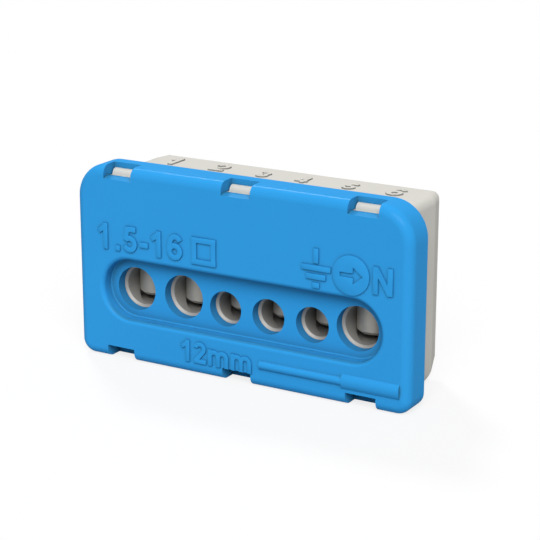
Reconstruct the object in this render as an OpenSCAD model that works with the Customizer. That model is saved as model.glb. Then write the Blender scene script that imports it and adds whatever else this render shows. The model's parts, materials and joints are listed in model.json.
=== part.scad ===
// Screw terminal block: a moulded housing with a clipped front cover, one terminal bar and six clamp screws.
// Millimetres, +Z up. The origin is in the middle of the footprint, on the face the block stands on.
// The front, with the wire entries, looks along -Y.

/* [Wire entries] */
// Diameter of the large entries in the cover
big_entry_d = 6; // [5.6:0.1:6.4]
// Diameter of the small entries in the cover
small_entry_d = 4.8; // [4.4:0.1:5.2]
// Spacing of the two large entries that are side by side
big_pitch = 7.5; // [7.2:0.1:8]
// Spacing of all other entries
pitch = 6.5; // [6.2:0.1:7]
// Height above the base of the line that all entries stand on
entry_base = 6.8; // [6.4:0.1:8]
// How much smaller in radius the bar's bore is than the entry in front of it
bore_step = 0.3; // [0.2:0.05:0.4]
// Length of bare conductor that the block takes
strip_length = 12; // [11:0.5:15]

/* [Cover] */
// Height of the cover
cover_h = 26.8; // [26:0.2:32]
// Depth of the cover, from its face to its back edge
cover_d = 4.4; // [4.2:0.1:5]
// Thickness of the cover's face
face_t = 1.3; // [1.1:0.1:1.4]
// Thickness of the rim around the cover
rim_t = 1.5; // [1.3:0.1:1.8]
// Round of the cover's front edge
edge_r = 1.25; // [0.8:0.05:1.5]
// Radius of the cover's top corners, seen from the front
top_corner_r = 4.7; // [3.5:0.1:6]
// Radius of the cover's bottom corners, seen from the front
low_corner_r = 2; // [1.8:0.1:3]
// Width of plain face between the recess and the cover's side
side_land = 4.05; // [3.9:0.05:6]

/* [Recess] */
// Depth of the recess that the entries open in
recess_depth = 1.95; // [1.6:0.05:2.2]
// Thickness of the recess floor
recess_floor = 1.45; // [1.2:0.05:1.6]
// Distance from the large entries to the recess wall
recess_margin = 1.2; // [1:0.05:1.5]
// How far the recess sits above the middle of the large entries
recess_lift = 0.25; // [0:0.05:0.4]
// Round of the recess rim
recess_rim_r = 0.6; // [0.3:0.05:0.8]

/* [Latches] */
// Width of the six latch windows
latch_w = 4.3; // [3.6:0.1:5]
// Distance of the outer latches from the middle
latch_x = 18.25; // [14:0.25:18.5]
// Depth of the latch windows behind the face
latch_d = 2.7; // [2.6:0.05:3]
// How far a window's sill falls towards the face
sill_drop = 0.25; // [0.15:0.05:0.35]
// Depth of the sloped part of a window's sill
sill_d = 0.8; // [0.5:0.05:1]
// Height of a hook above the collar
hook_h = 0.85; // [0.8:0.05:1.1]
// Round of a hook's front
hook_r = 0.8; // [0.5:0.05:0.8]

/* [Housing] */
// How far the housing's top lies below the cover's top
top_step = 1.65; // [1:0.05:2]
// Thickness of the housing's top
house_wall = 1.1; // [0.9:0.1:1.5]
// Thickness of the housing's sides
side_wall = 1.4; // [1.2:0.1:1.8]
// Thickness of the housing's base
base_t = 3; // [2.8:0.1:3.4]
// Round of the housing's long edges
house_edge_r = 1.25; // [1.1:0.05:1.8]
// Round of the housing's rear edges
rear_edge_r = 0.5; // [0.3:0.05:0.7]
// Depth of the taper at the rear of the housing's sides
taper_d = 2.4; // [1.8:0.1:3]
// How far the taper draws each side in
taper_w = 0.55; // [0.3:0.05:0.7]
// Depth of the slope at the rear of the base
heel_d = 4.4; // [3:0.1:5.5]
// Height of the slope at the rear of the base
heel_h = 3.1; // [2:0.1:3.2]

/* [Bar and screws] */
// Thread diameter of the large clamp screws
big_screw_d = 5; // [4.5:0.1:5]
// Thread diameter of the small clamp screws
small_screw_d = 4; // [3.5:0.1:4]
// Length of a clamp screw
screw_len = 12; // [10:0.5:12]
// Height of threaded metal above the large bores
thread_h = 4.5; // [4:0.1:5]
// Gap between a screw's tip and the floor of its bore, as shown
tip_gap = 1; // [0.6:0.1:2]
// Width of the slot in a screw
slot_w = 0.9; // [0.6:0.1:1]

/* [Strip gauge] */
// How far the gauge stands out of the cover's face
gauge_raise = 0.4; // [0.3:0.05:0.5]
// Width of the bare end of the gauge
gauge_bare_w = 1.2; // [1:0.1:1.4]
// Width of the insulated end of the gauge
gauge_sleeve_w = 2; // [1.6:0.1:2.2]

/* [Clearances] */
// Gap between the cover and the collar of the housing
cover_fit = 0.1; // [0.05:0.01:0.15]
// Gap around the bar in the housing
bar_fit = 0.1; // [0.05:0.01:0.15]
// Radial gap between a screw and its thread
thread_fit = 0.05; // [0.02:0.01:0.08]
// Radial gap between a screw and its well
well_fit = 0.15; // [0.1:0.01:0.2]

/* [Hidden] */
$fn = 64;

// The row of entries, from left to right, and which of them are large
row_len = big_pitch + 4 * pitch;
entry_x = [-row_len / 2, -row_len / 2 + big_pitch, for (i = [1 : 4]) -row_len / 2 + big_pitch + i * pitch];
is_big = [true, true, false, false, false, true];
big_r = big_entry_d / 2;
big_bore_r = big_r - bore_step;
big_z = entry_base + big_r;
bore_floor = entry_base + bore_step;

// Cover
cover_half = row_len / 2 + big_r + recess_margin + side_land;
recess_half = row_len / 2 + big_r + recess_margin;
recess_r = big_r + recess_margin;
recess_z = big_z + recess_lift;
recess_back = recess_depth + recess_floor;
tub_wall = 1;
recess_corner_r = 0.2;
cave_top_r = top_corner_r - rim_t;
cave_low_r = max(low_corner_r - rim_t, 0.4);

// Housing: depths are counted from the cover's face
seam = 0.05;
rear_wall = 1.45;
wire_gap = 0.5;
body_d = recess_depth + strip_length + wire_gap + rear_wall;
body_start = cover_d + seam;
house_top = cover_h - top_step;
bar_end = 0.75;
bar_half = row_len / 2 + big_bore_r + bar_end;
house_half = bar_half + bar_fit + side_wall;
collar_half = cover_half - rim_t - cover_fit;
collar_low = rim_t + cover_fit;
collar_top = cover_h - rim_t - cover_fit;
collar_start = face_t + cover_fit;
collar_wall = 1.05;
flange_start = recess_back + cover_fit;
shelf_t = 1.3;
stop_t = 1;
tube_wall = 1.25;
web_t = 1;
hook_gap = 0.1;
hook_side_gap = 0.2;
taper_angle = atan(taper_w / taper_d);

// Wells, bar and screws
well_land = 0.05;
big_well_r = big_screw_d / 2 + well_fit;
screw_at = body_start + well_land + big_well_r;
bar_start = recess_back + seam;
bar_d = 2 * (screw_at - bar_start);
bar_low = bore_floor - 1.6;
bar_top = big_z + big_bore_r + thread_h;
bore_chamfer = bore_step;
screw_tip = bore_floor + tip_gap;
drill_floor = bore_floor + 0.05;

// The front of the strip gauge is the front of the whole block
gauge_x = 3.6;
gauge_drop = 10.2;
gauge_z = cover_h / 2 - gauge_drop;
sleeve_len = 8.1;
face_y = -(body_d + gauge_raise) / 2 + gauge_raise;

function entry_r(i) = is_big[i] ? big_r : small_entry_d / 2;
function bore_r(i) = entry_r(i) - bore_step;
function entry_z(i) = entry_base + entry_r(i);
function screw_r(i) = (is_big[i] ? big_screw_d : small_screw_d) / 2;
function well_r(i) = screw_r(i) + well_fit;

// Draws a front view, x across and z up, from depth d0 to depth d1
module from_front(d0, d1) {
    translate([0, d1, 0]) rotate([90, 0, 0]) linear_extrude(d1 - d0) children();
}

// Draws a side view, depth across and z up, from x0 to x1
module from_side(x0, x1) {
    translate([x0, 0, 0]) rotate([90, 0, 90]) linear_extrude(x1 - x0) children();
}

// A flat rectangle about the middle of x, with its own corner radius at the top and at the bottom
module round_rect(half, z0, z1, low_r, top_r) {
    translate([-half, z0 + low_r]) square([2 * half, z1 - z0 - low_r - top_r]);
    translate([-half + low_r, z0]) square([2 * (half - low_r), low_r]);
    translate([-half + top_r, z1 - top_r]) square([2 * (half - top_r), top_r]);
    for (s = [-1, 1]) {
        translate([s * (half - low_r), z0 + low_r]) circle(low_r);
        translate([s * (half - top_r), z1 - top_r]) circle(top_r);
    }
}

// A flat obround about a point
module obround(half, r, z) {
    translate([-(half - r), z - r]) square([2 * (half - r), 2 * r]);
    for (s = [-1, 1]) translate([s * (half - r), z]) circle(r);
}

// A block whose front edge is cut away all the way round, by a section drawn with that edge at its origin
module eased_block(half, height, depth, low_r, top_r) {
    difference() {
        from_front(0, depth) round_rect(half, 0, height, low_r, top_r);
        translate([half - top_r, 0, height]) rotate([0, -90, 0])
            linear_extrude(2 * (half - top_r)) children();
        translate([low_r - half, 0, 0]) rotate([0, 90, 0])
            linear_extrude(2 * (half - low_r)) children();
        for (s = [0, 1]) mirror([s, 0, 0]) {
            translate([half, 0, low_r]) linear_extrude(height - low_r - top_r) children();
            translate([half - top_r, 0, height - top_r]) rotate([-90, 0, 0]) rotate([0, 0, -90])
                rotate_extrude(angle = 90) translate([top_r, 0]) children();
            translate([half - low_r, 0, low_r]) rotate([-90, 0, 0])
                rotate_extrude(angle = 90) translate([low_r, 0]) children();
        }
    }
}

// Section that rounds an edge
module round_section(r) {
    difference() {
        translate([-r, -1]) square([r + 1, r + 1]);
        translate([-r, r]) circle(r);
    }
}

// Section of the recess, from its middle out: a flared rim, a straight wall and a small round at the floor
module recess_section() {
    r = recess_corner_r;
    f = recess_rim_r;
    translate([0, -1]) square([recess_r, recess_depth - r + 1]);
    square([recess_r - r, recess_depth]);
    translate([recess_r - r, recess_depth - r]) circle(r);
    translate([recess_r, 0]) difference() {
        translate([-0.1, -1]) square([f + 0.1, f + 1]);
        translate([f, f]) circle(f);
    }
}

// The recess as it is cut out of the cover
module recess_cut() {
    reach = recess_half - recess_r;
    translate([0, 0, recess_z]) {
        for (s = [0, 1]) mirror([s, 0, 0]) {
            translate([reach, 0, 0]) rotate([-90, 0, 0]) rotate([0, 0, -90])
                rotate_extrude(angle = 180) recess_section();
        }
        for (s = [0, 1]) mirror([0, 0, s]) {
            translate([reach, 0, 0]) rotate([0, -90, 0]) linear_extrude(2 * reach) recess_section();
        }
    }
}

// Half-round bar along x with a given width, standing out of the face by gauge_raise
module gauge_bar(x0, x1, width) {
    r = (width * width / 4 + gauge_raise * gauge_raise) / (2 * gauge_raise);
    from_side(x0, x1) intersection() {
        translate([r - gauge_raise, gauge_z]) circle(r);
        translate([-1, gauge_z - width]) square([1.5, 2 * width]);
    }
}

// Draws a side view of a given width at each of the six latches, upside down at the bottom
module at_latches(width) {
    for (x = [-latch_x, 0, latch_x], flip = [0, 1])
        translate([0, 0, cover_h / 2]) mirror([0, 0, flip]) translate([0, 0, -cover_h / 2])
            from_side(x - width / 2, x + width / 2) children();
}

// A latch window: a level floor behind a sill that falls towards the face
module window_shape() {
    level = cover_h - rim_t;
    polygon([[-1, level - sill_drop], [0, level - sill_drop], [sill_d, level], [latch_d, level],
             [latch_d, cover_h + 1], [-1, cover_h + 1]]);
}

module front_cover() {
    color([0.2, 0.58, 0.86]) translate([0, face_y, 0]) difference() {
        union() {
            difference() {
                eased_block(cover_half, cover_h, cover_d, low_corner_r, top_corner_r) round_section(edge_r);
                from_front(face_t, cover_d + 1)
                    round_rect(cover_half - rim_t, rim_t, cover_h - rim_t, cave_low_r, cave_top_r);
            }
            from_front(face_t / 2, recess_back)
                obround(recess_half + tub_wall, recess_r + tub_wall, recess_z);
            gauge_bar(gauge_x, gauge_x + strip_length, gauge_bare_w);
            gauge_bar(gauge_x + strip_length, gauge_x + strip_length + sleeve_len, gauge_sleeve_w);
        }
        recess_cut();
        for (i = [0 : 5])
            translate([entry_x[i], recess_depth - 1, entry_z(i)]) rotate([-90, 0, 0])
                cylinder(r = entry_r(i), h = recess_floor + 2);
        at_latches(latch_w) window_shape();
    }
}

// A hook on the collar: a rounded front that lifts the window's edge over it, and a flat catch face behind
module hook_shape() {
    root = 0.5;
    translate([latch_d - hook_gap - hook_r, collar_top - root]) {
        square([hook_r, hook_h - hook_r + root]);
        intersection() {
            translate([hook_r, hook_h - hook_r + root]) circle(hook_r);
            square([hook_r, hook_h + root]);
        }
    }
}

// The housing seen from above: straight sides that draw in at the rear, to rounded corners
module house_plan() {
    round_x = house_half - taper_w - rear_edge_r * tan(45 - taper_angle / 2);
    round_y = body_d - rear_edge_r;
    end_x = round_x + rear_edge_r * cos(taper_angle);
    end_y = round_y + rear_edge_r * sin(taper_angle);
    polygon([[-house_half, body_start], [house_half, body_start], [house_half, body_d - taper_d],
             [end_x, end_y], [round_x, body_d], [-round_x, body_d], [-end_x, end_y],
             [-house_half, body_d - taper_d]]);
    for (s = [-1, 1]) translate([s * round_x, round_y]) circle(rear_edge_r);
}

// The housing seen from the side: a rounded edge at the top of the rear and a slope at the foot of it
module house_side() {
    polygon([[body_start, 0], [body_d - heel_d, 0], [body_d, heel_h], [body_d, house_top - rear_edge_r],
             [body_d - rear_edge_r, house_top], [body_start, house_top]]);
    translate([body_d - rear_edge_r, house_top - rear_edge_r]) circle(rear_edge_r);
}

// What is cut away to round the top and bottom edges of the tapered part of one side
module taper_rounds() {
    translate([house_half, body_d - taper_d, 0]) rotate([0, 0, taper_angle]) from_front(-1, taper_d + 1) {
        round_section(house_edge_r);
        translate([0, house_top]) mirror([0, 1]) round_section(house_edge_r);
    }
}

// The closed outer box behind the cover, which follows its views from the front, from above and from the side
module house_outside() {
    difference() {
        intersection() {
            from_front(body_start, body_d) round_rect(house_half, 0, house_top, house_edge_r, house_edge_r);
            linear_extrude(house_top) house_plan();
            from_side(-house_half, house_half) house_side();
        }
        for (s = [0, 1]) mirror([s, 0, 0]) taper_rounds();
    }
}

// The space inside the housing, open to the front, and the wider space in the collar that takes the recess
module house_inside() {
    inside = bar_half + bar_fit;
    translate([-inside, collar_start - 1, base_t])
        cube([2 * inside, body_d - rear_wall - collar_start + 1, house_top - house_wall - base_t]);
    from_front(collar_start - 1, flange_start)
        round_rect(collar_half - collar_wall, collar_low + collar_wall, collar_top - collar_wall, 0.4, 1.2);
}

// The shelves above and below the bar, the stops behind it, and the tubes of the screw wells on their web
module house_ribs() {
    inside = bar_half + bar_fit + 0.2;
    back = body_d - rear_wall + 0.2;
    front = bar_start + 0.15;
    for (z = [bar_low - bar_fit - shelf_t, bar_top + bar_fit])
        translate([-inside, front, z]) cube([2 * inside, back - front, shelf_t]);
    for (i = [0 : 4]) {
        middle = (entry_x[i] + bore_r(i) + entry_x[i + 1] - bore_r(i + 1)) / 2;
        translate([middle - stop_t / 2, bar_start + bar_d + bar_fit, bar_low - 0.5])
            cube([stop_t, back - bar_start - bar_d - bar_fit, bar_top - bar_low + 1]);
    }
    well_h = house_top - house_wall / 2 - bar_top - bar_fit;
    translate([-inside, screw_at - web_t / 2, bar_top + bar_fit]) cube([2 * inside, web_t, well_h]);
    for (i = [0 : 5])
        translate([entry_x[i], screw_at, bar_top + bar_fit]) cylinder(r = well_r(i) + tube_wall, h = well_h);
}

module housing() {
    color([0.84, 0.83, 0.79]) translate([0, face_y, 0]) difference() {
        union() {
            difference() {
                union() {
                    house_outside();
                    from_front(collar_start, body_start)
                        round_rect(collar_half, collar_low, collar_top, cave_low_r, cave_top_r);
                }
                house_inside();
            }
            at_latches(latch_w - 2 * hook_side_gap) hook_shape();
            house_ribs();
        }
        for (i = [0 : 5])
            translate([entry_x[i], screw_at, bar_top]) cylinder(r = well_r(i), h = house_top - bar_top + 1);
    }
}

module terminal_bar() {
    color([0.72, 0.72, 0.7]) translate([0, face_y, 0]) difference() {
        translate([-bar_half, bar_start, bar_low]) cube([2 * bar_half, bar_d, bar_top - bar_low]);
        for (i = [0 : 5]) translate([entry_x[i], bar_start, entry_z(i)]) rotate([-90, 0, 0]) {
            translate([0, 0, -1]) cylinder(r = bore_r(i), h = bar_d + 2);
            translate([0, 0, -0.1])
                cylinder(r1 = bore_r(i) + bore_chamfer + 0.1, r2 = bore_r(i), h = bore_chamfer + 0.1);
        }
        for (i = [0 : 5]) translate([entry_x[i], screw_at, drill_floor])
            cylinder(r = screw_r(i) + thread_fit, h = bar_top - drill_floor + 1);
    }
}

// A headless screw: a chamfered tip, a plain thread body and a slot crossed by a driver recess
module clamp_screw(i) {
    r = screw_r(i);
    tip_c = 0.4;
    top_c = 0.3;
    slot_d = 1.2;
    cross_d = 2;
    color([0.62, 0.62, 0.6]) translate([entry_x[i], face_y + screw_at, screw_tip]) difference() {
        rotate_extrude() polygon([[0, 0], [r - tip_c, 0], [r, tip_c], [r, screw_len - top_c],
                                  [r - top_c, screw_len], [0, screw_len]]);
        translate([-r - 1, -slot_w / 2, screw_len - slot_d]) cube([2 * r + 2, slot_w, slot_d + 1]);
        for (turn = [0, 90]) rotate(turn)
            translate([-0.6 * r, -slot_w / 2, screw_len - cross_d]) cube([1.2 * r, slot_w, cross_d + 1]);
    }
}

front_cover();
housing();
terminal_bar();
clamp_screw(0);  // clamp_screw_1
clamp_screw(1);  // clamp_screw_2
clamp_screw(2);  // clamp_screw_3
clamp_screw(3);  // clamp_screw_4
clamp_screw(4);  // clamp_screw_5
clamp_screw(5);  // clamp_screw_6
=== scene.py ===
"""Looks of a screw terminal block: a plated bar with six clamp screws in a moulded housing, under a cover.

Everything is in metres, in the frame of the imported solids: +X along the row of wire entries, +Y into the
block, +Z up.
"""
import json
import math

import bpy
from mathutils import Matrix, Vector


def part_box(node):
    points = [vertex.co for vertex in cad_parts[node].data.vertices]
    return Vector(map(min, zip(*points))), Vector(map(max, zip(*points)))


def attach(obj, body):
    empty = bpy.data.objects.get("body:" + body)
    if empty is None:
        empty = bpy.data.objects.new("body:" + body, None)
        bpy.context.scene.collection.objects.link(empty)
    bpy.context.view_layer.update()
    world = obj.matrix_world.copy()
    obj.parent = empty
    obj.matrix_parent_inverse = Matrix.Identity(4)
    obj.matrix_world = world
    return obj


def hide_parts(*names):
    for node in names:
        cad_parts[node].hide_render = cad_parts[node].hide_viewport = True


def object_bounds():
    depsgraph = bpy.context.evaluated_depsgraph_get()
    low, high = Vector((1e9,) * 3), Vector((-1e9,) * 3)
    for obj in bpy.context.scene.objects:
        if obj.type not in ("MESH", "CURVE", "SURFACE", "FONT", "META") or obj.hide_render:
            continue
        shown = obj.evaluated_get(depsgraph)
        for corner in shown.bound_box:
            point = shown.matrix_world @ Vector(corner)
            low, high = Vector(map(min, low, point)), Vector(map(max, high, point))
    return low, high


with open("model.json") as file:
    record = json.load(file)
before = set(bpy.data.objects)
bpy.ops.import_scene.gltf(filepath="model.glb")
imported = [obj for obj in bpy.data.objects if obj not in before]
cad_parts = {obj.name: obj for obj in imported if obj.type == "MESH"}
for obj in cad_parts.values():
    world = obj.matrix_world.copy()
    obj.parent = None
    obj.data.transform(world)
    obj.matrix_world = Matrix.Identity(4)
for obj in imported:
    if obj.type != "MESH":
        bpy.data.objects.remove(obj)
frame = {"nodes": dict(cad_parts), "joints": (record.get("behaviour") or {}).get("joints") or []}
cad_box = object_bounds()
MM = 0.001


# Terminal bar
# The conductor that all six entries share: a drawn brass bar, cross drilled for the wires and the screws,
# then nickel plated. It sits between two shelves of the housing and shows as a grey bore behind each entry.
class Wire:
    """An output of a node. Arithmetic on wires adds Math nodes to the board that they are on."""

    def __init__(self, board, socket):
        self.board = board
        self.socket = socket

    def __add__(self, other):
        return self.board.maths("ADD", self, other)

    def __radd__(self, other):
        return self.board.maths("ADD", other, self)

    def __sub__(self, other):
        return self.board.maths("SUBTRACT", self, other)

    def __rsub__(self, other):
        return self.board.maths("SUBTRACT", other, self)

    def __mul__(self, other):
        return self.board.maths("MULTIPLY", self, other)

    def __rmul__(self, other):
        return self.board.maths("MULTIPLY", other, self)

    def __truediv__(self, other):
        return self.board.maths("DIVIDE", self, other)


class Board:
    """A node tree that is wired up one node at a time."""

    def __init__(self, tree):
        self.tree = tree

    def node(self, kind, settings=None, sockets=None, output=0):
        """Add a node with its settings and the values or wires of its sockets. Gives back one output."""
        made = self.tree.nodes.new(kind)
        for name, value in (settings or {}).items():
            setattr(made, name, value)
        for name, value in (sockets or {}).items():
            self.join(value, made.inputs[name])
        return Wire(self, made.outputs[output])

    def join(self, value, socket):
        if isinstance(value, Wire):
            self.tree.links.new(value.socket, socket)
        else:
            socket.default_value = value

    def maths(self, operation, *values):
        return self.node("ShaderNodeMath", {"operation": operation}, dict(enumerate(values)))

    def clamped(self, value):
        """A value, kept from 0 to 1."""
        return self.node("ShaderNodeClamp", {}, {"Value": value})

    def within(self, value, middle, reach):
        """1 where a value is close enough to a middle, and 0 elsewhere."""
        return self.maths("LESS_THAN", self.maths("ABSOLUTE", value - middle), reach)

    def coordinate(self, vector, axis):
        """The X, Y or Z of a vector."""
        return self.node("ShaderNodeSeparateXYZ", {}, {"Vector": vector}, axis)

    def noise(self, place, size, detail):
        """Cloudy noise from 0 to 1, with lumps of about the given size in metres."""
        sockets = {"Vector": place, "Scale": 1 / size, "Detail": detail}
        return self.node("ShaderNodeTexNoise", {}, sockets, "Fac")

    def stretched(self, place, x, y, z):
        """The place, squeezed along each axis by its own factor."""
        return self.node("ShaderNodeMapping", {"vector_type": "POINT"}, {"Vector": place, "Scale": (x, y, z)})

    def blend(self, share, first, second):
        """A colour between two colours."""
        return self.node("ShaderNodeMix", {"data_type": "RGBA"}, {"Factor": share, 6: first, 7: second}, 2)


class Finish(Board):
    """A material: one Principled shader, with the nodes that vary it."""

    def __init__(self, name):
        self.material = bpy.data.materials.new(name)
        self.material.use_nodes = True
        super().__init__(self.material.node_tree)
        self.shader = self.tree.nodes["Principled BSDF"]
        self.place = self.node("ShaderNodeTexCoord", output="Object")

    def set(self, **sockets):
        for name, value in sockets.items():
            self.join(value, self.shader.inputs[name.replace("_", " ").title().replace("Ior", "IOR")])

    def openness(self, reach, closed, alone=True):
        """How open a spot is: 1 on a free face, 0 where no more than the closed share of its view is open.

        What closes it in is the piece alone, or other pieces too.
        """
        ramp = 0.6
        settings = {"samples": 8, "only_local": alone}
        view = self.node("ShaderNodeAmbientOcclusion", settings, {"Distance": reach}, "AO")
        return self.clamped((view - closed) / ramp)

    def relief(self, height, depth):
        """Bump the surface by a height from 0 to 1, times a depth in metres."""
        sockets = {"Height": height, "Strength": 1.0, "Distance": depth}
        self.join(self.node("ShaderNodeBump", {}, sockets, "Normal"), self.shader.inputs["Normal"])


NICKEL_LIGHT = (0.385, 0.373, 0.348, 1)
NICKEL_DARK = (0.342, 0.331, 0.308, 1)
PAINTED_BORE_SHADE = (0.180, 0.175, 0.163, 1)
BORE_REACH = 5 * MM
BORE_CLOSED = 0.25
NICKEL_ROUGHNESS = 0.52
NICKEL_SPREAD = 0.10
DRAW_RELIEF = 0.004 * MM
DRAW_LINE = 0.06 * MM
DRAW_STRETCH = 0.02
NICKEL_PATCH = 1.6 * MM

nickel = Finish("nickel_plated_brass")
draw_lines = nickel.noise(nickel.stretched(nickel.place, DRAW_STRETCH, 1, 1), DRAW_LINE, 2.0)
nickel_patches = nickel.noise(nickel.place, NICKEL_PATCH, 3.0)
# Painted shade: the bores get a darker nickel where the bar closes in around a spot
nickel.set(
    base_color=nickel.blend(
        nickel.openness(BORE_REACH, BORE_CLOSED),
        PAINTED_BORE_SHADE,
        nickel.blend(nickel_patches, NICKEL_DARK, NICKEL_LIGHT),
    ),
    metallic=0.35,
    roughness=NICKEL_ROUGHNESS + NICKEL_SPREAD * draw_lines + NICKEL_SPREAD * nickel_patches,
)
nickel.relief(draw_lines, DRAW_RELIEF)

bar = frame["nodes"]["terminal_bar"]
bar.material_slots[0].material = nickel.material


# Clamp screws
# Six headless machine screws of zinc plated steel, three larger and three smaller. Each is turned with a
# plain point below and a rolled thread above, and its slot with a cross takes the driver from the top.
TIP_CHAMFER = 0.4 * MM
TOP_CHAMFER = 0.3 * MM
PLAIN_POINT = 5.0 * MM
SLOT_WIDTH = 0.9 * MM
SLOT_DEPTH = 1.2 * MM
CROSS_DEPTH = 2.0 * MM
CROSS_SHARE = 1.2
PITCH_SHARE = 0.165
THREAD_DEPTH_SHARE = 0.54
CREST_START = 0.25
CREST_RAMP = 0.62
ROUND_STEPS = 64
LENGTH_STEPS = 176
SHARP_EDGE = math.radians(35)
FLOAT = "NodeSocketFloat"
GEOMETRY = "NodeSocketGeometry"
MATERIAL = "NodeSocketMaterial"


class Recipe(Board):
    """A geometry tree with named inputs, that ends in Realize Instances and Set Material."""

    def __init__(self, name, inputs):
        super().__init__(bpy.data.node_groups.new(name, "GeometryNodeTree"))
        face = self.tree.interface
        wanted = {"Shape": GEOMETRY, **inputs, "Finish": MATERIAL}
        self.sockets = {
            label: face.new_socket(label, in_out="INPUT", socket_type=kind)
            for label, kind in wanted.items()
        }
        face.new_socket("Shape", in_out="OUTPUT", socket_type=GEOMETRY)
        entry = self.tree.nodes.new("NodeGroupInput")
        self.inputs = {label: Wire(self, entry.outputs[label]) for label in wanted}

    def close(self, shape, chosen=None, other_finish=None):
        """End the tree. Faces that are chosen get another finish than the rest."""
        whole = self.node("GeometryNodeRealizeInstances", {}, {"Geometry": shape})
        main_paint = {"Geometry": whole, "Material": self.inputs["Finish"]}
        painted = self.node("GeometryNodeSetMaterial", {}, main_paint)
        if chosen:
            other_paint = {"Geometry": painted, "Selection": chosen, "Material": other_finish}
            painted = self.node("GeometryNodeSetMaterial", {}, other_paint)
        self.join(painted, self.tree.nodes.new("NodeGroupOutput").inputs["Shape"])

    def make(self, name, data, place, edge, **values):
        """Run the recipe on some data, and give back a plain mesh object with the place in its mesh."""
        source = bpy.data.objects.new(name + "_source", data)
        bpy.context.scene.collection.objects.link(source)
        modifier = source.modifiers.new("recipe", "NODES")
        modifier.node_group = self.tree
        for label, value in values.items():
            modifier[self.sockets[label.replace("_", " ").title()].identifier] = value
        soften = source.modifiers.new("edges", "BEVEL")
        soften.limit_method = "ANGLE"
        soften.angle_limit = SHARP_EDGE
        soften.width = edge
        soften.segments = 2
        soften.show_viewport = soften.show_render = edge > 0
        ready = bpy.context.evaluated_depsgraph_get()
        mesh = bpy.data.meshes.new_from_object(source.evaluated_get(ready), depsgraph=ready)
        bpy.data.objects.remove(source)
        mesh.name = name
        mesh.transform(place)
        mesh.shade_smooth()
        mesh.set_sharp_from_angle(angle=SHARP_EDGE)
        piece = bpy.data.objects.new(name, mesh)
        bpy.context.scene.collection.objects.link(piece)
        return piece


screw_recipe = Recipe("threaded_clamp_screw", {
    "Radius": FLOAT,
    "Length": FLOAT,
    "Pitch": FLOAT,
    "Thread Depth": FLOAT,
})
radius = screw_recipe.inputs["Radius"]
length = screw_recipe.inputs["Length"]
pitch = screw_recipe.inputs["Pitch"]
thread_depth = screw_recipe.inputs["Thread Depth"]

blank = screw_recipe.node("GeometryNodeMeshCylinder", {"fill_type": "NGON"}, {
    "Vertices": ROUND_STEPS,
    "Side Segments": LENGTH_STEPS,
    "Radius": radius,
    "Depth": length,
})
spot = screw_recipe.node("GeometryNodeInputPosition")
across = screw_recipe.coordinate(spot, "X")
along = screw_recipe.coordinate(spot, "Y")
height = screw_recipe.coordinate(spot, "Z") + length * 0.5

# The groove winds up by one pitch a turn, with a flat crest and root, and starts above the plain point
turns = screw_recipe.maths("ARCTAN2", along, across) / (2 * math.pi)
phase = screw_recipe.maths("FRACT", height / pitch - turns)
ridge = screw_recipe.maths("ABSOLUTE", phase * 2 - 1)
crest = screw_recipe.clamped((ridge - CREST_START) / CREST_RAMP)
run_in = screw_recipe.clamped((height - PLAIN_POINT) / pitch)
threaded = radius - thread_depth * (1 - crest) * run_in
tip_limit = radius - screw_recipe.maths("MAXIMUM", TIP_CHAMFER - height, 0.0)
top_limit = radius - screw_recipe.maths("MAXIMUM", height - length + TOP_CHAMFER, 0.0)
turned = screw_recipe.maths("MINIMUM", threaded, screw_recipe.maths("MINIMUM", tip_limit, top_limit))
shrink = turned / radius
cut_place = {"X": across * shrink, "Y": along * shrink, "Z": height}
cut_spot = screw_recipe.node("ShaderNodeCombineXYZ", {}, cut_place)
rolled = screw_recipe.node("GeometryNodeSetPosition", {}, {"Geometry": blank, "Position": cut_spot})

shaped = rolled
for cut_length, cut_width, cut_depth in (
    (radius * 3, SLOT_WIDTH, SLOT_DEPTH),
    (radius * CROSS_SHARE, SLOT_WIDTH, CROSS_DEPTH),
    (SLOT_WIDTH, radius * CROSS_SHARE, CROSS_DEPTH),
):
    cutter_sides = {"X": cut_length, "Y": cut_width, "Z": 2 * cut_depth}
    cutter_size = screw_recipe.node("ShaderNodeCombineXYZ", {}, cutter_sides)
    cutter_place = screw_recipe.node("ShaderNodeCombineXYZ", {}, {"Z": length})
    cutter = screw_recipe.node("GeometryNodeMeshCube", {}, {"Size": cutter_size})
    cutter = screw_recipe.node("GeometryNodeTransform", {}, {"Geometry": cutter, "Translation": cutter_place})
    shaped = screw_recipe.node("GeometryNodeMeshBoolean", {"operation": "DIFFERENCE", "solver": "EXACT"},
                               {"Mesh 1": shaped, "Mesh 2": cutter})
screw_recipe.close(shaped)

ZINC_LIGHT = (0.435, 0.410, 0.358, 1)
ZINC_DARK = (0.383, 0.361, 0.315, 1)
TOOL_MARK = 0.05 * MM
TOOL_STRETCH = 0.02
TOOL_RELIEF = 0.003 * MM
ZINC_PATCH = 0.9 * MM

zinc = Finish("zinc_plated_steel")
tool_marks = zinc.noise(zinc.stretched(zinc.place, TOOL_STRETCH, TOOL_STRETCH, 1), TOOL_MARK, 1.0)
zinc_patches = zinc.noise(zinc.place, ZINC_PATCH, 3.0)
zinc.set(
    base_color=zinc.blend(zinc_patches, ZINC_DARK, ZINC_LIGHT),
    metallic=0.5,
    roughness=0.45 + 0.10 * tool_marks + 0.08 * zinc_patches,
)
zinc.relief(tool_marks, TOOL_RELIEF)

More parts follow.
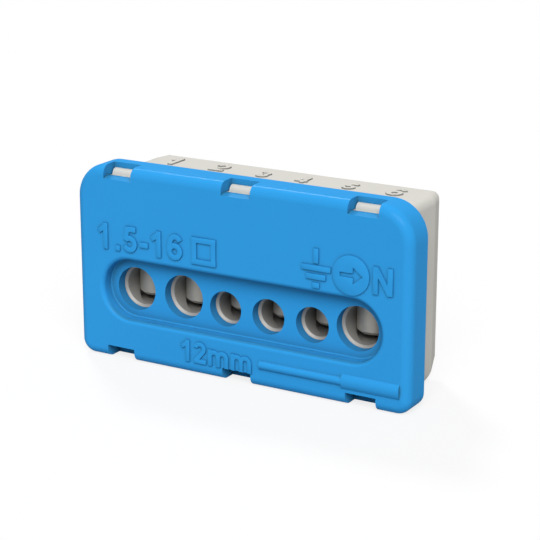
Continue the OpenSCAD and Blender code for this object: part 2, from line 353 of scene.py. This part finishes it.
for joint in frame["joints"]:
    screw_name = joint["child"]
    low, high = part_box(screw_name)
    screw_radius = (high.x - low.x) / 2
    screw_foot = Vector(((low.x + high.x) / 2, (low.y + high.y) / 2, low.z))
    screw = screw_recipe.make(
        screw_name + "_threaded",
        bpy.data.meshes.new(screw_name),
        Matrix.Translation(screw_foot),
        0.0,
        radius=screw_radius,
        length=high.z - low.z,
        pitch=2 * screw_radius * PITCH_SHARE,
        thread_depth=2 * screw_radius * PITCH_SHARE * THREAD_DEPTH_SHARE,
        finish=zinc.material,
    )
    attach(screw, screw_name)
    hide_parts(screw_name)


# Housing
# The light grey box that holds the bar and guides the screws, moulded in one piece with the collar and the
# hooks that the cover clips over. The numbers of the six clamps stand up from its top, behind the wells.
def moulded_plastic(name, light, dark, roughness, gloss):
    """Satin moulded plastic: slow drifts of shade from the flow, and the fine grain of the mould."""
    flow_size = 9 * MM
    grain_size = 0.16 * MM
    grain_relief = 0.004 * MM
    finish = Finish(name)
    flow = finish.noise(finish.place, flow_size, 2.0)
    grain = finish.noise(finish.place, grain_size, 2.0)
    finish.shade = finish.blend(flow, dark, light)
    finish.set(
        base_color=finish.shade,
        roughness=roughness + 0.06 * flow + 0.10 * grain,
        specular_ior_level=0.0,
        coat_weight=gloss,
        coat_roughness=0.22,
    )
    finish.relief(grain, grain_relief)
    return finish


def shaded(colour, share):
    """A darker tone of a colour: painted shade for the walls of raised marks, that light reaches less."""
    return tuple(channel * share for channel in colour[:3]) + (1,)


HOUSING_LIGHT = (0.560, 0.550, 0.510, 1)
HOUSING_DARK = (0.535, 0.525, 0.486, 1)
HOUSING_WALL_SHADE = 0.42
HOUSING_ROUGHNESS = 0.30
HOUSING_GLOSS = 0.02
WALL_ROUGHNESS = 0.40

grey_plastic = moulded_plastic(
    "light_grey_plastic", HOUSING_LIGHT, HOUSING_DARK, HOUSING_ROUGHNESS, HOUSING_GLOSS)
# The walls of the raised digits get a darker copy of the plastic: painted shade
grey_wall_shade = moulded_plastic(
    "light_grey_plastic_mark_walls",
    shaded(HOUSING_LIGHT, HOUSING_WALL_SHADE),
    shaded(HOUSING_DARK, HOUSING_WALL_SHADE),
    WALL_ROUGHNESS,
    HOUSING_GLOSS,
)
housing = frame["nodes"]["housing"]
housing.material_slots[0].material = grey_plastic.material


# Raised marks are strokes of one width, drawn in a box of height 1, with round parts as arcs
def line(x0, y0, x1, y1):
    return [(x0, y0), (x1, y1)]


def arc(x, y, half_width, half_height, start, end):
    steps = max(6, int(abs(end - start) / 9))
    angles = [math.radians(start + (end - start) * i / steps) for i in range(steps + 1)]
    return [(x + half_width * math.cos(a), y + half_height * math.sin(a)) for a in angles]


ARCH = 0.21
MARKS = {
    "1": (0.45, [line(0.34, 0, 0.34, 1), line(0.03, 0.67, 0.34, 0.89)]),
    "2": (0.63, [arc(0.31, 0.69, 0.215, 0.21, 170, -35) + [(0.09, 0.12)], line(0, 0.1, 0.63, 0.1)]),
    "3": (0.63, [arc(0.3, 0.705, 0.2, 0.195, 155, -90), arc(0.3, 0.305, 0.22, 0.205, 90, -155)]),
    "4": (0.66, [line(0.44, 0.95, 0.06, 0.32), line(0, 0.28, 0.66, 0.28), line(0.46, 0, 0.46, 1)]),
    "5": (0.65, [line(0.18, 0.9, 0.6, 0.9), line(0.24, 0.96, 0.14, 0.46),
                 arc(0.32, 0.325, 0.23, 0.225, 142, -158)]),
    "6": (0.66, [arc(0.33, 0.325, 0.23, 0.225, 0, 360),
                 arc(0.36, 0.5, 0.26, 0.4, 38, 180) + [(0.1, 0.325)]]),
    ".": (0.2, [line(0.1, 0, 0.1, 0.2)]),
    "-": (0.37, [line(0, 0.365, 0.37, 0.365)]),
    "m": (1.05, [line(0.1, 0, 0.1, 0.755)]
          + [arc(x, 0.44, ARCH, ARCH, 180, 0) + [(x + ARCH, 0)] for x in (0.1 + ARCH, 0.1 + 3 * ARCH)]),
    "N": (0.78, [line(0.105, 0, 0.105, 1), line(0.675, 0, 0.675, 1), line(0.115, 0.95, 0.665, 0.05)]),
}


def stroke_data(name, strokes):
    """Curve data with one poly spline for each stroke, flat in x and y."""
    data = bpy.data.curves.new(name, "CURVE")
    data.dimensions = "3D"
    for points in strokes:
        closed = math.dist(points[0], points[-1]) < 1e-6
        kept = points[:-1] if closed else points
        spline = data.splines.new("POLY")
        spline.points.add(len(kept) - 1)
        for point, (x, y) in zip(spline.points, kept):
            point.co = (x, y, 0, 1)
        spline.use_cyclic_u = closed
    return data


def sized(strokes, height, x, y):
    """Strokes of a mark at a real height, with its lower left corner at a point."""
    return [[(x + height * px, y + height * py) for px, py in points] for points in strokes]


# The foot of a mark is the fine rim where the tool that cut the mould ran along its outline; it takes the
# walls' darker tone, a painted line of shade around the mark
FOOT_WIDTH = 0.06 * MM
FOOT_HEIGHT = 0.12 * MM
FOOT_BASE = 0.01 * MM
MARK_INPUTS = {"Width": FLOAT, "Thickness": FLOAT, "Foot Width": FLOAT, "Wall Finish": MATERIAL}


def bead(recipe, path, width, height, z):
    """A bar with a rectangular section along a path, with its middle at a height."""
    upright = recipe.node("GeometryNodeSetCurveNormal", {"mode": "Z_UP"}, {"Curve": path})
    sides = {"Width": width, "Height": height}
    section = recipe.node("GeometryNodeCurvePrimitiveQuadrilateral", {"mode": "RECTANGLE"}, sides)
    sweep = {"Curve": upright, "Profile Curve": section, "Fill Caps": True}
    bar = recipe.node("GeometryNodeCurveToMesh", {}, sweep)
    shift = recipe.node("ShaderNodeCombineXYZ", {}, {"Z": z})
    return recipe.node("GeometryNodeTransform", {}, {"Geometry": bar, "Translation": shift})


def joined(recipe, *shapes):
    """Several shapes as one geometry."""
    both = recipe.tree.nodes.new("GeometryNodeJoinGeometry")
    for shape in shapes:
        recipe.join(shape, both.inputs[0])
    return Wire(recipe, both.outputs[0])


def with_foot(recipe, shape, outline, width):
    """A raised shape made one with its foot, that ends the recipe. All but its top gets the walls' finish, a
    darker copy that paints shade.
    """
    top_share = 0.49
    thickness = recipe.inputs["Thickness"]
    foot = bead(recipe, outline, width, FOOT_HEIGHT, FOOT_HEIGHT / 2 + FOOT_BASE - thickness * 0.5)
    whole = recipe.node("GeometryNodeMeshBoolean", {"operation": "UNION", "solver": "EXACT"},
                        {"Mesh 2": joined(recipe, shape, foot), "Self Intersection": True})
    height = recipe.coordinate(recipe.node("GeometryNodeInputPosition"), "Z")
    below_top = recipe.maths("LESS_THAN", height, thickness * top_share)
    recipe.close(whole, below_top, recipe.inputs["Wall Finish"])


mark_recipe = Recipe("raised_strokes", MARK_INPUTS)
stroke = mark_recipe.inputs["Shape"]
foot_width = mark_recipe.inputs["Foot Width"]
at_start = mark_recipe.node("GeometryNodeCurveEndpointSelection", {}, {"Start Size": 1, "End Size": 0})
at_end = mark_recipe.node("GeometryNodeCurveEndpointSelection", {}, {"Start Size": 0, "End Size": 1})
is_open = 1 - mark_recipe.node("GeometryNodeInputSplineCyclic")
reach = (at_end - at_start) * is_open * foot_width
outwards = mark_recipe.node("ShaderNodeVectorMath", {"operation": "SCALE"},
                            {0: mark_recipe.node("GeometryNodeInputTangent"), "Scale": reach})
longer = mark_recipe.node("GeometryNodeSetPosition", {}, {"Geometry": stroke, "Offset": outwards})
with_foot(
    mark_recipe,
    bead(mark_recipe, stroke, mark_recipe.inputs["Width"], mark_recipe.inputs["Thickness"], 0.0),
    longer,
    mark_recipe.inputs["Width"] + foot_width * 2,
)

DIGIT_RISE = 0.18 * MM
DIGIT_ROOT = 0.1 * MM
DIGIT_FOOT = 0.05 * MM
DIGIT_FROM_FACE = 10.5 * MM
DIGIT_STROKE_SHARE = 0.2
DIGIT_GROUPS = {
    "housing_large_digits": (3.4 * MM, {1: -0.5, 2: -0.4, 6: 0.0}),
    "housing_small_digits": (2.7 * MM, {3: 0.05, 4: -0.45, 5: 0.0}),
}
MARK_EDGE = 0.02 * MM

TOP_STEP = 1.65 * MM
GAUGE_RISE = 0.4 * MM

screw_boxes = [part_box(joint["child"]) for joint in frame["joints"]]
cover_low, cover_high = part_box("front_cover")
house_top = cover_high.z - TOP_STEP
face_y = cover_low.y + GAUGE_RISE

for name, (digit_height, shifts) in DIGIT_GROUPS.items():
    digit_strokes = []
    for number, shift in shifts.items():
        low, high = screw_boxes[number - 1]
        width, strokes = MARKS[str(number)]
        left = (low.x + high.x) / 2 + shift * MM - width * digit_height / 2
        digit_strokes += sized(strokes, digit_height, left, face_y + DIGIT_FROM_FACE)
    digits = mark_recipe.make(
        name,
        stroke_data(name, digit_strokes),
        Matrix.Translation((0, 0, house_top + (DIGIT_RISE - DIGIT_ROOT) / 2)),
        MARK_EDGE,
        width=DIGIT_STROKE_SHARE * digit_height,
        thickness=DIGIT_RISE + DIGIT_ROOT,
        foot_width=DIGIT_FOOT,
        finish=grey_plastic.material,
        wall_finish=grey_wall_shade.material,
    )
    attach(digits, "block")


# Front cover
# The blue cover, moulded in one piece: a shallow cap with rounded front edges, a long recess for the six
# entries, and windows that drop over the hooks of the housing. Its marks and gauge stand out of the face.
COVER_LIGHT = (0.0275, 0.290, 0.660, 1)
COVER_DARK = (0.0260, 0.278, 0.636, 1)
COVER_WALL_SHADE = 0.65
COVER_ROUGHNESS = 0.20
COVER_GLOSS = 0.07

blue_plastic = moulded_plastic("blue_plastic", COVER_LIGHT, COVER_DARK, COVER_ROUGHNESS, COVER_GLOSS)
# The walls of the raised marks get a darker copy of the blue plastic: painted shade
blue_wall_shade = moulded_plastic(
    "blue_plastic_mark_walls",
    shaded(COVER_LIGHT, COVER_WALL_SHADE),
    shaded(COVER_DARK, COVER_WALL_SHADE),
    WALL_ROUGHNESS,
    COVER_GLOSS,
)

# Painted shade: the plastic's colour is darkened in the recess, the entries and the windows, on the lower
# wall of the recess, on the sills of the windows, and on the face close to the marks, most where the piece
# closes in around a spot. The sills also get less coat.
COVER_PAINTED_SHADE = (0.0315, 0.158, 0.268, 1)
ENTRY_PAINTED_SHADE = (0.0280, 0.192, 0.405, 1)
HOLLOW_REACH = 5 * MM
HOLLOW_CLOSED = 0.25
RECESS_SHADE_SHARE = 0.25
MARK_REACH = 0.8 * MM
MARK_CLOSED = 0.35
RECESS_DEPTH = 1.95 * MM
RECESS_MIDDLE = 10.05 * MM
RECESS_REACH = 5 * MM
RIM_DEPTH = 0.3 * MM
WALL_EDGE = 0.1 * MM
ROW_REACH = 21.6 * MM
LOW_WALL_START = 0.12 * MM
LOW_WALL_FADE = 0.5 * MM
LOW_WALL_END = 1.1 * MM
LOW_WALL_BELOW = 1.5 * MM
LOW_WALL_RAMP = 2 * MM
LOW_WALL_SHADE_SHARE = 0.52
SILL_MIDDLE = cover_high.z - 1.625 * MM
SILL_HALF = 0.15 * MM
SILL_SHADE_SHARE = 0.3
SILL_COAT = 0.4

side = blue_plastic.coordinate(blue_plastic.place, "X")
depth = blue_plastic.coordinate(blue_plastic.place, "Y") - face_y
level = blue_plastic.coordinate(blue_plastic.place, "Z")
in_row = blue_plastic.within(side, 0.0, ROW_REACH)
at_recess = blue_plastic.within(level, RECESS_MIDDLE, RECESS_REACH) * in_row
in_recess = blue_plastic.clamped((depth - RIM_DEPTH) / WALL_EDGE)
in_entry = blue_plastic.clamped((depth - RECESS_DEPTH) / WALL_EDGE)
deeper_shade = 1 + RECESS_SHADE_SHARE * in_recess * at_recess
shade_by_hollows = (1 - blue_plastic.openness(HOLLOW_REACH, HOLLOW_CLOSED)) * deeper_shade
behind_face = blue_plastic.clamped(depth / WALL_EDGE)
# Painted shade on the face close to the marks, where the raised marks close it in
shade_by_marks = (1 - blue_plastic.openness(MARK_REACH, MARK_CLOSED, alone=False)) * (1 - behind_face)
# The sills of the windows get painted shade in their colour, and less coat
on_sill = blue_plastic.within(level, SILL_MIDDLE, SILL_HALF) * behind_face * in_row
# Painted shade on the lower wall of the recess, just behind its rim
low_start = blue_plastic.clamped((depth - LOW_WALL_START) / WALL_EDGE)
low_end = blue_plastic.clamped((depth - LOW_WALL_FADE) / (LOW_WALL_END - LOW_WALL_FADE))
below = blue_plastic.clamped((RECESS_MIDDLE - LOW_WALL_BELOW - level) / LOW_WALL_RAMP)
shade_on_low_wall = low_start * (1 - low_end) * below * at_recess * LOW_WALL_SHADE_SHARE
painted_shade_share = shade_by_hollows + shade_by_marks + shade_on_low_wall + on_sill * SILL_SHADE_SHARE
with_painted_shade = blue_plastic.blend(painted_shade_share, blue_plastic.shade, COVER_PAINTED_SHADE)
blue_plastic.set(
    # The walls of the entries are painted in a darker blue: painted shade
    base_color=blue_plastic.blend(in_entry * at_recess, with_painted_shade, ENTRY_PAINTED_SHADE),
    coat_weight=COVER_GLOSS * (1 - on_sill * (1 - SILL_COAT)),
)

cover = frame["nodes"]["front_cover"]
cover.material_slots[0].material = blue_plastic.material

MARK_RISE = 0.2 * MM
MARK_ROOT = 0.1 * MM
MARK_SHIFT = 0.03 * MM
upright = Matrix.Rotation(math.radians(90), 4, "X")
on_face = Matrix.Translation((MARK_SHIFT, face_y - (MARK_RISE - MARK_ROOT) / 2, 0)) @ upright


def row_of_marks(words, height, z):
    """Strokes of several marks on one line, each with the place of its left edge, in millimetres."""
    return [stroke for mark, x in words for stroke in sized(MARKS[mark][1], height * MM, x * MM, z * MM)]


RANGE_HEIGHT = 3.54
RANGE_FOOT = 15.45
range_marks = [("1", -21.46), (".", -18.66), ("5", -17.51), ("-", -14.76), ("1", -12.96), ("6", -10.41),
               ("N", 19.79)]
STRIP_HEIGHT = 3.0
STRIP_FOOT = 1.75
strip_marks = [("1", -8.46), ("2", -6.46), ("m", -4.26), ("m", -0.76)]

range_stroke = 0.70 * MM
strip_stroke = 0.58 * MM
square_side = 2.93
square_left = -6.23
square_foot = 15.74
square_over = 0.13
square_strokes = sized([
    line(-square_over, 0, 1 + square_over, 0),
    line(-square_over, 1, 1 + square_over, 1),
    line(0, 0, 0, 1),
    line(1, 0, 1, 1),
], square_side * MM, square_left * MM, square_foot * MM)
earth_middle = 11.81
earth_bars = [(17.55, 2.08), (16.42, 1.38), (15.3, 0.5)]
earth_strokes = [line(earth_middle, 18.2, earth_middle, 20.1)]
earth_strokes += [line(earth_middle - half, z, earth_middle + half, z) for z, half in earth_bars]

for name, strokes, stroke_width in (
    ("cover_range_marks", row_of_marks(range_marks, RANGE_HEIGHT, RANGE_FOOT) + square_strokes, range_stroke),
    ("cover_earth_sign", sized(earth_strokes, MM, 0, 0), range_stroke),
    ("cover_strip_marks", row_of_marks(strip_marks, STRIP_HEIGHT, STRIP_FOOT), strip_stroke),
):
    mark = mark_recipe.make(
        name,
        stroke_data(name, strokes),
        on_face,
        MARK_EDGE,
        width=stroke_width,
        thickness=MARK_RISE + MARK_ROOT,
        foot_width=FOOT_WIDTH,
        finish=blue_plastic.material,
        wall_finish=blue_wall_shade.material,
    )
    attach(mark, "block")

# A raised plate is filled between closed outlines: here a disc, with an arrow cut through it
plate_recipe = Recipe("raised_plate", MARK_INPUTS)
outline = plate_recipe.inputs["Shape"]
plate_thickness = plate_recipe.inputs["Thickness"]
low_shift = plate_recipe.node("ShaderNodeCombineXYZ", {}, {"Z": plate_thickness * -0.5})
lift = plate_recipe.node("ShaderNodeCombineXYZ", {}, {"Z": plate_thickness})
filled = plate_recipe.node("GeometryNodeFillCurve", {}, {"Curve": outline})
filled = plate_recipe.node("GeometryNodeTransform", {}, {"Geometry": filled, "Translation": low_shift})
extrusion = {"Mesh": filled, "Offset": lift, "Individual": False}
raised = plate_recipe.node("GeometryNodeExtrudeMesh", {}, extrusion)
underside = plate_recipe.node("GeometryNodeFlipFaces", {}, {"Mesh": filled})
plate = plate_recipe.node("GeometryNodeMergeByDistance", {},
                          {"Geometry": joined(plate_recipe, raised, underside), "Distance": 1e-6})
with_foot(plate_recipe, plate, outline, plate_recipe.inputs["Foot Width"] * 2)

disc_middle = (16.74, 17.35)
disc_radius = 2.57
arrow = [(-1.55, -0.3), (0.3, -0.3), (0.3, -1.1), (1.65, 0), (0.3, 1.1), (0.3, 0.3), (-1.55, 0.3)]
disc_outline = [(disc_radius * x, disc_radius * y) for x, y in arc(0, 0, 1, 1, 0, 360)]
disc_strokes = sized([disc_outline, arrow + arrow[:1]], MM, disc_middle[0] * MM, disc_middle[1] * MM)
disc_sign = plate_recipe.make(
    "cover_arrow_sign",
    stroke_data("cover_arrow_sign", disc_strokes),
    on_face,
    MARK_EDGE,
    thickness=MARK_RISE + MARK_ROOT,
    foot_width=FOOT_WIDTH,
    finish=blue_plastic.material,
    wall_finish=blue_wall_shade.material,
)
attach(disc_sign, "block")


# Stage
# A plain pale floor under soft studio light. The floor shows white to the camera and keeps a light shadow.
FLOOR_HALF = 1.5
FLOOR_ALBEDO = 0.46
SHADOW_SHARE = 0.2
AMBIENT = 0.27
LAMPS = {
    "key": {"azimuth": 30, "elevation": 44, "spread": 40, "level": 1.05},
    "rim": {"azimuth": 227, "elevation": 49, "spread": 10, "level": 0.43},
}
floor_level = AMBIENT
for lamp in LAMPS.values():
    floor_level += lamp["level"] * math.sin(math.radians(lamp["elevation"]))


def seen_directly(board):
    """1 for rays from the camera, a mirror or glass, and 0 for the rays that carry light."""
    camera_ray = board.node("ShaderNodeLightPath", output="Is Camera Ray")
    glossy_ray = board.node("ShaderNodeLightPath", output="Is Glossy Ray")
    glass_ray = board.node("ShaderNodeLightPath", output="Is Transmission Ray")
    return board.maths("MAXIMUM", camera_ray, board.maths("MAXIMUM", glossy_ray, glass_ray))


floor_mesh = bpy.data.meshes.new("floor")
corner_signs = ((-1, -1), (1, -1), (1, 1), (-1, 1))
floor_corners = [(x * FLOOR_HALF, y * FLOOR_HALF, cad_box[0].z) for x, y in corner_signs]
floor_mesh.from_pydata(floor_corners, [], [(0, 1, 2, 3)])
floor = bpy.data.objects.new("floor", floor_mesh)
bpy.context.scene.collection.objects.link(floor)
floor_material = bpy.data.materials.new("pale_floor")
floor_material.use_nodes = True
floor_material.node_tree.nodes.clear()
floor_board = Board(floor_material.node_tree)
lit = floor_board.node("ShaderNodeBsdfDiffuse", {}, {"Color": (FLOOR_ALBEDO,) * 3 + (1,)})
shadow = floor_board.node("ShaderNodeBsdfDiffuse", {}, {"Color": (SHADOW_SHARE / floor_level,) * 3 + (1,)})
glow = floor_board.node("ShaderNodeEmission", {}, {"Strength": 1 - SHADOW_SHARE})
shown = floor_board.node("ShaderNodeAddShader", {}, {0: shadow, 1: glow})
mixed = floor_board.node("ShaderNodeMixShader", {}, {0: seen_directly(floor_board), 1: lit, 2: shown})
floor_out = floor_material.node_tree.nodes.new("ShaderNodeOutputMaterial")
floor_board.join(mixed, floor_out.inputs["Surface"])
floor_mesh.materials.append(floor_material)

scene = bpy.context.scene
scene.view_settings.view_transform = "Standard"
world = bpy.data.worlds.new("studio")
world.use_nodes = True
scene.world = world
world_board = Board(world.node_tree)
background = world.node_tree.nodes["Background"]
background.inputs["Color"].default_value = (1, 1, 1, 1)
world_board.join(AMBIENT + (1 - AMBIENT) * seen_directly(world_board), background.inputs["Strength"])

for name, lamp in LAMPS.items():
    azimuth = math.radians(lamp["azimuth"])
    elevation = math.radians(lamp["elevation"])
    from_lamp = Vector((
        -math.sin(azimuth) * math.cos(elevation),
        math.cos(azimuth) * math.cos(elevation),
        -math.sin(elevation),
    ))
    light = bpy.data.lights.new(name, "SUN")
    light.angle = math.radians(lamp["spread"])
    light.energy = lamp["level"] * math.pi
    source = bpy.data.objects.new(name, light)
    source.rotation_euler = from_lamp.to_track_quat("-Z", "Y").to_euler()
    scene.collection.objects.link(source)

CAMERA_PLACE = Vector((113.27, -192.71, 80.89)) * MM
CAMERA_AIM = Vector((5.143, -7.75, 16.254)) * MM
CAMERA_LENS = 117.64
camera_data = bpy.data.cameras.new("camera")
camera_data.lens = CAMERA_LENS
camera_data.sensor_width = 36
camera_data.clip_start = 0.01
camera = bpy.data.objects.new("camera", camera_data)
camera.location = CAMERA_PLACE
camera.rotation_euler = (CAMERA_AIM - CAMERA_PLACE).to_track_quat("-Z", "Y").to_euler()
scene.collection.objects.link(camera)
scene.camera = camera
